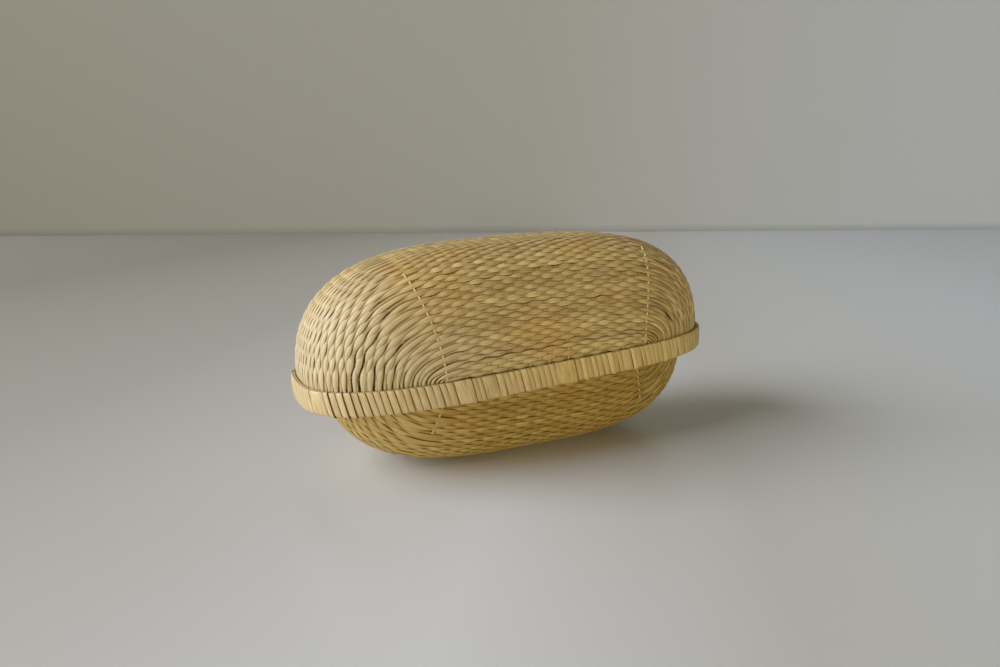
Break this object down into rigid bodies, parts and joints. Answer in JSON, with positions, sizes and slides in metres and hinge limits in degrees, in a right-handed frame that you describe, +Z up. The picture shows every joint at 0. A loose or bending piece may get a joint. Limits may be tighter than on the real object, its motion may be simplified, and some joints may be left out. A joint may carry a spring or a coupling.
{
  "type": "wicker lunch box",
  "caption": "Woven lunch box: a deep rounded lid slides down over a smaller rounded base, and both edges are held by bent hoops wound with flat splints.",
  "frame": {"origin": "centre of the base's flat foot, on the surface that the box stands on", "axes": "+X along the length, towards the end where the lid stands higher; -Y out of the long side that faces the camera; +Z up"},
  "size_m": [0.2048, 0.0854, 0.0985],
  "materials": {
    "base_weave": "satin, peeled rods",
    "base_hoop": "satin",
    "base_splint": "satin",
    "base_thread": "matt twisted fibre",
    "lid_weave": "satin, peeled rods",
    "lid_hoop": "satin",
    "lid_splint": "satin",
    "lid_thread": "matt twisted fibre"
  },
  "bodies": {
    "base": {"base_wall": "base_weave", "base_outer_hoop": "base_hoop", "base_inner_hoop": "base_hoop", "base_rim_splint_1": "base_splint", "base_rim_splint_2": "base_splint", "base_rim_splint_3": "base_splint", "base_rim_splint_4": "base_splint", "base_rim_splint_5": "base_splint", "base_rim_splint_6": "base_splint", "base_rim_splint_7": "base_splint", "base_rim_splint_8": "base_splint", "base_seam_thread_front_left": "base_thread", "base_seam_thread_front_right": "base_thread", "base_seam_thread_back_left": "base_thread", "base_seam_thread_back_right": "base_thread"},
    "lid": {"lid_wall": "lid_weave", "lid_outer_hoop": "lid_hoop", "lid_inner_hoop": "lid_hoop", "lid_rim_splint_1": "lid_splint", "lid_rim_splint_2": "lid_splint", "lid_rim_splint_3": "lid_splint", "lid_rim_splint_4": "lid_splint", "lid_rim_splint_5": "lid_splint", "lid_rim_splint_6": "lid_splint", "lid_rim_splint_7": "lid_splint", "lid_rim_splint_8": "lid_splint", "lid_seam_thread_front_left": "lid_thread", "lid_seam_thread_front_right": "lid_thread", "lid_seam_thread_back_left": "lid_thread", "lid_seam_thread_back_right": "lid_thread"}
  },
  "joints": [
    {"name": "lid_lift", "type": "slide", "parent": "base", "child": "lid", "axis": [0, 0, 1], "range_m": [0, 0.08]}
  ]
}
